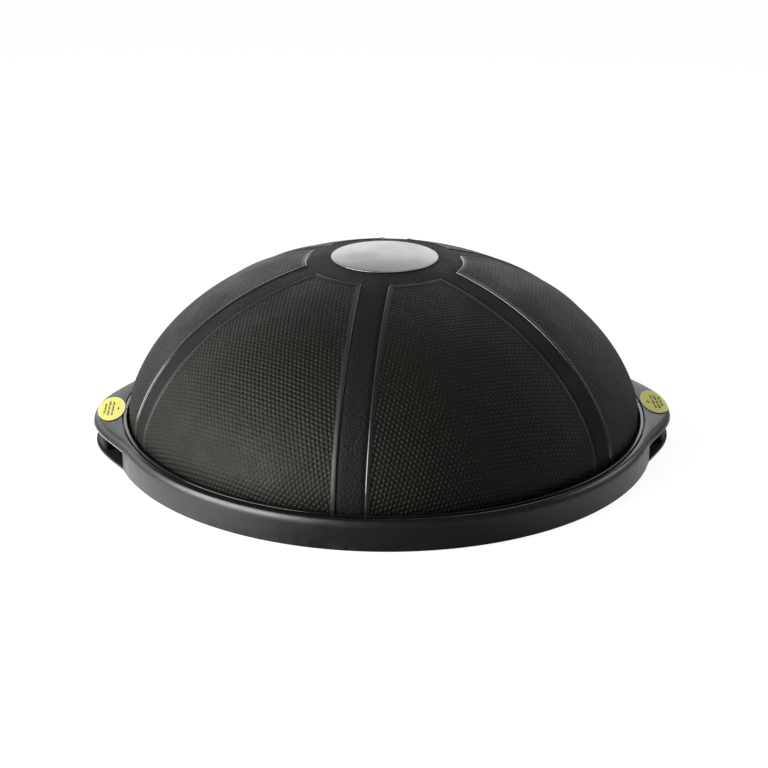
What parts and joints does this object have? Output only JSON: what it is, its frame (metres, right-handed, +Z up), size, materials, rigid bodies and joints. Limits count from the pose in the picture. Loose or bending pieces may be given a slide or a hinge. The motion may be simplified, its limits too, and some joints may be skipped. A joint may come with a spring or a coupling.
{
  "type": "balance dome trainer",
  "caption": "Inflated rubber half-dome with raised textured panels, clamped to a round flat platform with a hand-hold lobe on each side.",
  "frame": {"origin": "on the floor, under the dome's apex, at the centre of the object's bounding box in plan", "axes": "+Z up through the dome's apex; +X along the line through the two hand-hold lobes, to the right of someone facing the object; +Y to the rear, where the air valve is"},
  "size_m": [0.649, 0.601, 0.2148],
  "materials": {
    "dome_rubber": "matte black rubber, textured panels with smooth satin borders",
    "inner_rubber": "plain matte rubber",
    "black_rubber": "soft matte rubber",
    "shell_plastic": "semi-gloss charcoal moulded plastic with a fine grain",
    "badge_metal": "satin silver",
    "screw_steel": "zinc plated",
    "label_vinyl": "pale yellow printed vinyl, satin"
  },
  "bodies": {
    "root": {"dome_membrane": "dome_rubber", "bladder_floor": "inner_rubber", "hub_badge": "badge_metal", "valve_sleeve": "inner_rubber", "platform_upper_shell": "shell_plastic", "platform_base_shell": "shell_plastic", "clamp_ring_front": "shell_plastic", "clamp_ring_rear": "shell_plastic", "handle_label_right": "label_vinyl", "handle_label_left": "label_vinyl", "clamp_screw_01": "screw_steel", "clamp_screw_02": "screw_steel", "clamp_screw_03": "screw_steel", "clamp_screw_04": "screw_steel", "clamp_screw_05": "screw_steel", "clamp_screw_06": "screw_steel", "clamp_screw_07": "screw_steel", "clamp_screw_08": "screw_steel", "shell_screw_01": "screw_steel", "shell_screw_02": "screw_steel", "shell_screw_03": "screw_steel", "shell_screw_04": "screw_steel", "shell_screw_05": "screw_steel", "shell_screw_06": "screw_steel", "shell_screw_07": "screw_steel", "shell_screw_08": "screw_steel", "shell_screw_09": "screw_steel", "shell_screw_10": "screw_steel", "shell_screw_11": "screw_steel", "shell_screw_12": "screw_steel", "rubber_foot_01": "black_rubber", "rubber_foot_02": "black_rubber", "rubber_foot_03": "black_rubber", "rubber_foot_04": "black_rubber", "rubber_foot_05": "black_rubber", "rubber_foot_06": "black_rubber", "rubber_foot_07": "black_rubber", "rubber_foot_08": "black_rubber"},
    "plug": {"valve_plug": "black_rubber"}
  },
  "joints": [
    {"name": "plug_pull", "type": "slide", "parent": "root", "child": "plug", "axis": [0.1566, 0.9258, 0.344], "range_m": [0, 0.018]}
  ]
}
